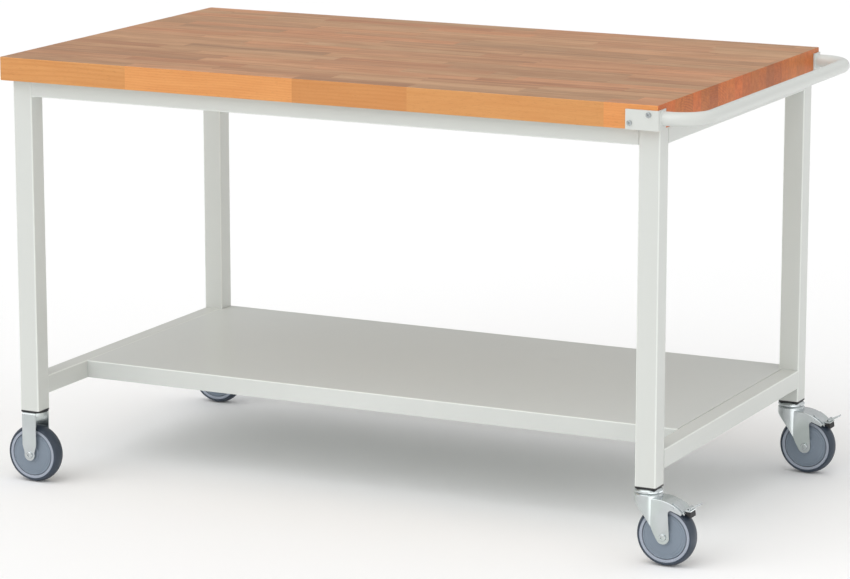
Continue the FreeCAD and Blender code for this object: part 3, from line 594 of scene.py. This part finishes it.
class StudioSettings(bpy.types.PropertyGroup):
    floor: swatch("Floor", "Floor of the studio", (0.97, 0.97, 0.97))
    sky: FloatProperty(name="Sky", description="Strength of the surrounding light", default=0.76,
                       min=0.0)
    key: FloatProperty(name="Key", description="Strength of the main lights", default=1.0, min=0.0)
    card: FloatProperty(name="Cards", description="Glow of the reflector cards", default=1.9, min=0.0)
    lens: FloatProperty(name="Lens", description="Focal length in millimetres", default=151.2, min=1.0)
    bearing: FloatProperty(name="Bearing", description="Camera's turn to the right of the front",
                           default=math.radians(26.216), subtype="ANGLE")
    height: FloatProperty(name="Height angle", description="Camera's angle above the horizon",
                          default=math.radians(11.922), subtype="ANGLE")


# Worktop

class WORKBENCH_OT_worktop(bpy.types.Operator):
    """Build the beech worktop as one block with rounded edges"""
    bl_idname = "workbench.worktop"
    bl_label = "Worktop"

    def execute(self, context):
        settings = context.scene.worktop_settings
        low, high = map(np.array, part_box("worktop"))
        middle, half = (low + high) / 2, (high - low) / 2
        radius = settings.edge_radius
        turn = np.linspace(0, math.pi / 2, 5)
        # inset and height of each level loop: radius (1 - sin a) in, radius (1 - cos a) from the face
        inset = radius * (1 - np.sin(turn))
        drop = radius * (1 - np.cos(turn))
        insets = np.concatenate([inset, inset[::-1]])
        levels = np.concatenate([-half[2] + drop, (half[2] - drop)[::-1]])
        loops = [np.column_stack([rounded_rectangle(half[0] - i, half[1] - i, max(radius - i, 1e-5)),
                                  np.full(28, level)]) for i, level in zip(insets, levels)]
        top = capped_grid("worktop_block", np.array(loops) + middle, 50.0)
        weight_normals(top)
        stand_in(top, "worktop")
        paint_piece(top, beech(settings))
        return {"FINISHED"}


# Painted steel: frame, shelf and handle

def bead_section(bead, steps=6):
    """Section of a weld bead in a right-angled corner: the corner at 0,0 and a hollow face,
    (b (1-t), b t) times 1 - t(1-t)/2."""
    t = np.linspace(0, 1, steps)
    face = np.column_stack([bead * (1 - t), bead * t]) * (1 - 0.5 * (t * (1 - t)))[:, None]
    return np.vstack([[0.0, 0.0], face])


def weld_bead(name, start, end, out_a, out_b, bead):
    """Bead from start to end in the corner between the directions out_a and out_b. Its size swells
    and shrinks along the run as 1 + r sin(k s), as laid weld does, and tapers at both ends."""
    start, end = np.asarray(start, float), np.asarray(end, float)
    run = np.linalg.norm(end - start)
    rows = max(int(run / 0.0008), 8)
    s = np.linspace(0, 1, rows)[:, None, None]
    swell = 1 + RIPPLE_HEIGHT / bead * np.sin(s * run / RIPPLE_LENGTH * 2 * math.pi)
    ends = np.clip(np.minimum(s, 1 - s) * run / bead + 0.25, 0.25, 1.0) ** 0.5
    section = bead_section(bead)[None]
    size = swell * ends
    grid = start + (end - start) * s + size * (section[..., :1] * np.asarray(out_a, float)
                                               + section[..., 1:] * np.asarray(out_b, float))
    return capped_grid(name, grid, 60.0)


def join(name, pieces):
    """One object from several meshes."""
    points, faces, count = [], [], 0
    for piece in pieces:
        mesh = piece.data
        own = np.zeros(len(mesh.vertices) * 3)
        mesh.vertices.foreach_get("co", own)
        points.append(own.reshape(-1, 3))
        faces.extend([[corner + count for corner in face.vertices] for face in mesh.polygons])
        count += len(mesh.vertices)
        bpy.data.objects.remove(piece)
    return mesh_piece(name, np.vstack(points), faces, 60.0)


def frame_tubes():
    """The frame's tubes and the axis that each runs along: 0, 1 or 2 for X, Y or Z."""
    tubes = {"leg_" + end: 2 for end in ENDS}
    for rail in ("top_rail_front", "top_rail_rear"):
        tubes[rail] = 0
    for rail in ("top_rail_left", "top_rail_right", "side_rail_left", "side_rail_right"):
        tubes[rail] = 1
    return tubes


class WORKBENCH_OT_frame(bpy.types.Operator):
    """Build the welded tube frame with its weld beads and the tabs under the top"""
    bl_idname = "workbench.frame"
    bl_label = "Frame"

    def execute(self, context):
        settings = context.scene.frame_settings
        # the frame's coat carries the painted corner highlight on the tubes' rounded corners
        coat = powder_coat("powder_coat_frame", settings.paint, settings.gloss, True)
        for node, axis in frame_tubes().items():
            low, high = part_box(node)
            tube = straight_tube(node + "_tube", low, high, axis, settings.corner_radius, settings.wall)
            stand_in(tube, node)
            paint_piece(tube, coat)
        tabs = refined("fixing_tabs")
        paint_piece(tabs, coat)
        beads = join("frame_welds", self.beads(settings.bead))
        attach(beads, "root")
        paint_piece(beads, coat)
        return {"FINISHED"}

    def beads(self, bead):
        """Beads across the underside and up the inner face of every rail, where it meets a leg."""
        made = []
        for node, axis in frame_tubes().items():
            if axis == 2:
                continue
            low, high = map(np.array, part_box(node))
            across = 1 - axis
            inner, sign = (high, 1.0) if low[across] + high[across] < 0 else (low, -1.0)
            for end, inward in ((low, 1.0), (high, -1.0)):
                out = np.zeros(3)
                out[axis] = inward
                side = np.zeros(3)
                side[across] = sign
                under_start, under_end = low.copy(), low.copy()
                under_start[axis] = under_end[axis] = end[axis]
                under_start[across] = low[across] + BEAD_CLEARANCE
                under_end[across] = high[across] - BEAD_CLEARANCE
                made.append(weld_bead("bead", under_start, under_end, out, (0, 0, -1), bead))
                inside_start, inside_end = low.copy(), high.copy()
                inside_start[axis] = inside_end[axis] = end[axis]
                inside_start[across] = inside_end[across] = inner[across]
                inside_start[2] += BEAD_CLEARANCE
                inside_end[2] -= BEAD_CLEARANCE
                made.append(weld_bead("bead", inside_start, inside_end, out, side, bead))
        return made


class WORKBENCH_OT_shelf(bpy.types.Operator):
    """Finish the folded shelf tray and its stiffener"""
    bl_idname = "workbench.shelf"
    bl_label = "Shelf"

    def execute(self, context):
        settings = context.scene.frame_settings
        # the shelf's coat carries the painted corner highlight along its folds
        coat = powder_coat("powder_coat_shelf", settings.shelf_paint, settings.gloss - 0.06, True)
        for node in ("shelf_tray", "shelf_stiffener"):
            piece = refined(node, 0.0007, 28.0)
            weight_normals(piece)
            paint_piece(piece, coat)
        return {"FINISHED"}


class WORKBENCH_OT_handle(bpy.types.Operator):
    """Build the bent push handle and finish its two brackets"""
    bl_idname = "workbench.handle"
    bl_label = "Push handle"

    def execute(self, context):
        settings = context.scene.frame_settings
        coat = powder_coat("powder_coat_handle", settings.paint, settings.gloss - 0.04)
        low, high = map(np.array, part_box("push_handle"))
        radius = (high[2] - low[2]) / 2
        bend = HANDLE_BEND
        level = (low[2] + high[2]) / 2
        x0, x1 = low[0], high[0] - radius
        y0, y1 = low[1] + radius, high[1] - radius
        turn = np.linspace(0, math.pi / 2, 40)
        # arm, quarter circle, long bar, quarter circle, arm
        heading = np.concatenate([[0.0], turn, turn + math.pi / 2, [math.pi]])
        out, back = bend * np.sin(turn), bend * np.cos(turn)
        x = np.concatenate([[x0], x1 - bend + out, x1 - bend + back, [x0]])
        y = np.concatenate([[y0], y0 + bend - back, y1 - bend + out, [y1]])
        path = np.column_stack([x, y, np.full(len(x), level)])
        forward = np.column_stack([np.cos(heading), np.sin(heading), np.zeros(len(x))])
        handle = sweep("push_handle_tube", path, forward, radius)
        weight_normals(handle)
        stand_in(handle, "push_handle")
        paint_piece(handle, coat)
        for end in ("front", "rear"):
            bracket = refined("handle_bracket_" + end, 0.0004)
            weight_normals(bracket)
            paint_piece(bracket, coat)
            self.collar(end, (x0, y0 if end == "front" else y1, level), radius, coat)
        return {"FINISHED"}

    def collar(self, end, centre, radius, coat):
        """Weld round the tube's end: a small ring whose radius ripples as 1 + r sin(k a)."""
        around = np.linspace(0, 2 * math.pi, 160, endpoint=False)[:, None]
        section = bead_section(HANDLE_WELD)[None]
        ripple = 1 + 0.10 * np.sin(around * 42)
        out = radius - 0.0001 + section[..., 0] * ripple
        along = section[..., 1] * ripple
        grid = np.stack([np.broadcast_to(along, out.shape), out * np.cos(around),
                         out * np.sin(around)], -1)
        weld = closed_grid("handle_weld_" + end, grid + np.array(centre), 60.0)
        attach(weld, "root")
        paint_piece(weld, coat)


# Casters

class WORKBENCH_OT_casters(bpy.types.Operator):
    """Finish the caster forks, heads, bolts and the leg inserts"""
    bl_idname = "workbench.casters"
    bl_label = "Casters"

    def execute(self, context):
        settings = context.scene.caster_settings
        zinc = zinc_plate("zinc_forks", settings.zinc, 0.23)
        bright = zinc_plate("zinc_bright", settings.zinc, 0.17)
        black = moulded("insert_plastic", settings.insert_colour, 0.5)
        steel = ground_steel()
        groups = [("zinc_steel", zinc, ["swivel_fork_" + end for end in RIGHT_ENDS]
                   + ["fixed_fork_" + end for end in LEFT_ENDS]),
                  ("zinc_steel", bright, ["swivel_head_" + end for end in RIGHT_ENDS] + ["caster_bolts"]
                   + ["axle_" + end for end in ENDS] + ["pedal_pin_" + end for end in RIGHT_ENDS]
                   + ["axle_tube_" + end for end in ENDS]),
                  ("black_plastic", black, ["leg_inserts"]),
                  ("bearing_steel", steel, ["swivel_balls"] + ["wheel_bearings_" + end for end in ENDS])]
        for slot, material, nodes in groups:
            for node in nodes:
                piece = refined(node, 0.0005 if "fork" in node else 0.0003)
                paint_piece(piece, material)
        return {"FINISHED"}


class WORKBENCH_OT_wheels(bpy.types.Operator):
    """Build each wheel's tyre, core and guards as turned shapes"""
    bl_idname = "workbench.wheels"
    bl_label = "Wheels"

    def execute(self, context):
        settings = context.scene.caster_settings
        rubber = tread_rubber(settings)
        rim = moulded("rim_plastic", settings.rim_colour, 0.42)
        guard = moulded("guard_plastic", settings.guard_colour, 0.38)
        for end in ENDS:
            low, high = map(np.array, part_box("tyre_" + end))
            centre = (low + high) / 2
            self.add(lathe("tyre_tread_" + end, self.tyre_outline(high[2] - centre[2]), centre, 160),
                     "tyre_" + end, "tyre_rubber", rubber)
            self.add(lathe("rim_moulding_" + end, self.core_outline(), centre, 128),
                     "wheel_core_" + end, "rim_plastic", rim)
            outline = self.guard_outline(settings.dish)
            sides = [lathe("guard", outline * np.array([1, side]), centre, 128) for side in (1, -1)]
            guards = join("guard_discs_" + end, sides)
            self.add(guards, "thread_guards_" + end, "guard_plastic", guard)
        return {"FINISHED"}

    def add(self, piece, node, slot, material):
        stand_in(piece, node)
        paint_piece(piece, material)

    def tyre_outline(self, radius):
        """Domed tread whose radius falls by 5 (y/16)^2 mm to the shoulders, then flat sides."""
        y = np.linspace(-15.0, 15.0, 25)
        tread = np.column_stack([radius / MM - 5.0 * (y / 16.0) ** 2, y])
        turn = np.linspace(0, math.pi / 2, 5)[1:]
        drop = tread[-1, 0] - 1.2
        shoulder = np.column_stack([drop + 1.2 * np.cos(turn), 15.0 + 1.0 * np.sin(turn)])
        side = np.vstack([shoulder, [54.6, 16.0], [54.0, 15.6]])
        mirrored = (side * np.array([1, -1]))[::-1]
        return np.vstack([tread, side, mirrored]) * MM

    def core_outline(self):
        """Rim flange, deep groove behind the guard, web and hub, mirrored about the wheel's middle."""
        half = [(54.0, 15.5), (48.5, 15.9), (47.8, 15.3), (47.6, 8.5), (44.5, 6.5), (18.5, 6.5),
                (16.5, 8.5), (16.5, 17.9), (14.1, 17.9)]
        outline = half + [(radius, -y) for radius, y in half][::-1]
        return soft_outline(np.array(outline) * MM, 0.7 * MM)

    def guard_outline(self, dish):
        """Disc that rises by the dish from its edge to a boss round the axle."""
        edge = 15.0
        rise = edge + dish / MM
        half = [(8.2, 18.1), (16.4, 18.1), (18.5, 14.6), (46.5, 13.4), (46.6, edge - 0.3), (45.8, edge),
                (43.4, edge), (42.6, edge - 0.6), (41.8, edge), (37.6, edge + 0.3), (36.6, edge + 1.0),
                (22.0, rise), (18.5, rise + 0.3), (17.2, 20.2), (10.0, 20.3), (8.2, 19.6)]
        return soft_outline(np.array(half) * MM, 0.6 * MM)


class WORKBENCH_OT_brakes(bpy.types.Operator):
    """Finish the brake pedals and pads"""
    bl_idname = "workbench.brakes"
    bl_label = "Brakes"

    def execute(self, context):
        settings = context.scene.caster_settings
        bright = zinc_plate("zinc_pedal", settings.zinc, 0.22)
        black = moulded("brake_pad_rubber", (0.012, 0.012, 0.013), 0.65)
        for end in RIGHT_ENDS:
            pedal = refined("brake_pedal_" + end, 0.0006)
            paint_piece(pedal, bright)
            pad = refined("brake_pad_" + end, 0.0006)
            paint_piece(pad, black)
        return {"FINISHED"}


class WORKBENCH_OT_screws(bpy.types.Operator):
    """Finish the screws of the brackets, the top and the shelf"""
    bl_idname = "workbench.screws"
    bl_label = "Screws"

    def execute(self, context):
        zinc = zinc_plate("zinc_screws", shade(context.scene.caster_settings.zinc, 0.75), 0.22)
        for node in ("handle_screws", "worktop_screws", "shelf_screws"):
            piece = refined(node, 0.0002, 40.0)
            paint_piece(piece, zinc)
        return {"FINISHED"}


# Studio

class WORKBENCH_OT_studio(bpy.types.Operator):
    """Lay the floor, hang the lights and set the camera"""
    bl_idname = "workbench.studio"
    bl_label = "Studio"

    def execute(self, context):
        settings = context.scene.studio_settings
        self.lay_floor(settings)
        self.hang_backdrop()
        self.lay_reflectors(settings)
        self.light_world(settings)
        for name, direction, spread, strength in SUNS:
            self.soft_sun(name, direction, spread, strength * settings.key)
        self.set_camera(settings, context.scene)
        context.scene.view_settings.view_transform = "Standard"
        return {"FINISHED"}

    def lay_floor(self, settings):
        corners = np.array([[-1, -1, 0], [1, -1, 0], [1, 1, 0], [-1, 1, 0]]) * STUDIO_REACH
        floor = mesh_piece("floor", corners, [[0, 1, 2, 3]])
        paint = Paint("pale_floor")
        cloud = paint.noise(paint.place(), 0.8, 2.0)
        tone = paint.mix(cloud * 0.2, opaque(settings.floor), shade(settings.floor, 0.97))
        paint_piece(floor, paint.finish(Base_Color=tone, Roughness=1.0, Specular_IOR_Level=0.0))

    def hang_backdrop(self):
        """White cylinder far round the bench, x = r cos a, y = r sin a, there only for the camera."""
        turn = np.linspace(0, 2 * math.pi, 64, endpoint=False)
        ring = np.column_stack([np.cos(turn), np.sin(turn)]) * BACKDROP_RADIUS
        points = np.vstack([np.column_stack([ring, np.full(64, level)]) for level in (-0.5, 40.0)])
        backdrop = mesh_piece("backdrop", points, grid_faces(2, 64, False, True))
        backdrop.visible_diffuse = False
        backdrop.visible_glossy = False
        backdrop.visible_shadow = False
        paint = Paint("white_backdrop")
        paint_piece(backdrop, paint.finish(Base_Color=(0, 0, 0, 1), Specular_IOR_Level=0.0,
                                           Emission_Color=(1, 1, 1, 1), Emission_Strength=1.0))

    def lay_reflectors(self, settings):
        """Bright cards on the floor before the casters, there only for what the metal mirrors."""
        paint = Paint("reflector_card")
        card = paint.finish(Base_Color=(0, 0, 0, 1), Emission_Color=(1, 1, 1, 1),
                            Emission_Strength=settings.card)
        for name, (x0, x1, y0, y1) in CARDS:
            corners = np.array([[x0, y0, MM], [x1, y0, MM], [x1, y1, MM], [x0, y1, MM]])
            piece = mesh_piece(name, corners, [[0, 1, 2, 3]])
            piece.visible_camera = False
            piece.visible_diffuse = False
            piece.visible_shadow = False
            paint_piece(piece, card)

    def light_world(self, settings):
        """Brightest overhead and to the right, greyer towards the horizon and the left."""
        world = bpy.data.worlds.new("studio")
        world.use_nodes = True
        bpy.context.scene.world = world
        sky = Nodes(world.node_tree)
        toward = sky.axes(sky.node("ShaderNodeTexCoord", output="Generated"))
        overhead, right = sky.between(toward[2], 0.0, 0.6), sky.between(toward[0], -0.9, 0.9)
        level = overhead * 0.22 + right * 0.44 + 0.56
        sky.feed(world.node_tree.nodes["Background"].inputs["Color"], sky.vector(level, level, level))
        world.node_tree.nodes["Background"].inputs["Strength"].default_value = settings.sky

    def soft_sun(self, name, direction, spread, strength):
        """A far, wide soft box: light from one direction, spread over an angle in degrees."""
        data = bpy.data.lights.new(name, "SUN")
        data.energy = strength
        data.angle = math.radians(spread)
        lamp = bpy.data.objects.new(name, data)
        lamp.rotation_euler = Vector(direction).to_track_quat("Z", "Y").to_euler()
        bpy.context.scene.collection.objects.link(lamp)

    def set_camera(self, settings, scene):
        """Camera on a bearing round the bench, looking level along it and down by the height angle."""
        data = bpy.data.cameras.new("camera")
        data.lens = settings.lens
        data.sensor_width = 36.0
        data.clip_end = 200.0
        camera = bpy.data.objects.new("camera", data)
        camera.location = CAMERA_PLACE
        camera.rotation_euler = (math.pi / 2 - settings.height, 0.0, settings.bearing)
        scene.collection.objects.link(camera)
        scene.camera = camera


class WORKBENCH_PT_panel(bpy.types.Panel):
    """Sidebar panel that lists the workbench's operators and settings"""
    bl_idname = "WORKBENCH_PT_panel"
    bl_label = "Mobile Workbench"
    bl_space_type = "VIEW_3D"
    bl_region_type = "UI"
    bl_category = "Workbench"

    def draw(self, context):
        for operator in OPERATORS:
            self.layout.operator(operator.bl_idname)
        for group, attribute in SETTINGS:
            box = self.layout.box()
            box.label(text=group.__name__.replace("Settings", ""))
            for key in group.__annotations__:
                box.prop(getattr(context.scene, attribute), key)


SETTINGS = ((WorktopSettings, "worktop_settings"), (FrameSettings, "frame_settings"),
            (CasterSettings, "caster_settings"), (StudioSettings, "studio_settings"))
OPERATORS = (WORKBENCH_OT_worktop, WORKBENCH_OT_frame, WORKBENCH_OT_shelf, WORKBENCH_OT_handle,
             WORKBENCH_OT_casters, WORKBENCH_OT_wheels, WORKBENCH_OT_brakes, WORKBENCH_OT_screws,
             WORKBENCH_OT_studio)


def register():
    """Add the settings, the operators and the panel."""
    for group, attribute in SETTINGS:
        bpy.utils.register_class(group)
        setattr(bpy.types.Scene, attribute, PointerProperty(type=group))
    for made in OPERATORS + (WORKBENCH_PT_panel,):
        bpy.utils.register_class(made)


def unregister():
    """Take them away again, in the opposite order."""
    for made in (WORKBENCH_PT_panel,) + OPERATORS[::-1]:
        bpy.utils.unregister_class(made)
    for group, attribute in SETTINGS[::-1]:
        delattr(bpy.types.Scene, attribute)
        bpy.utils.unregister_class(group)


def main():
    """Build the whole bench and its studio."""
    register()
    for operator in OPERATORS:
        family, name = operator.bl_idname.split(".")
        getattr(getattr(bpy.ops, family), name)()


if __name__ == "__main__":
    main()
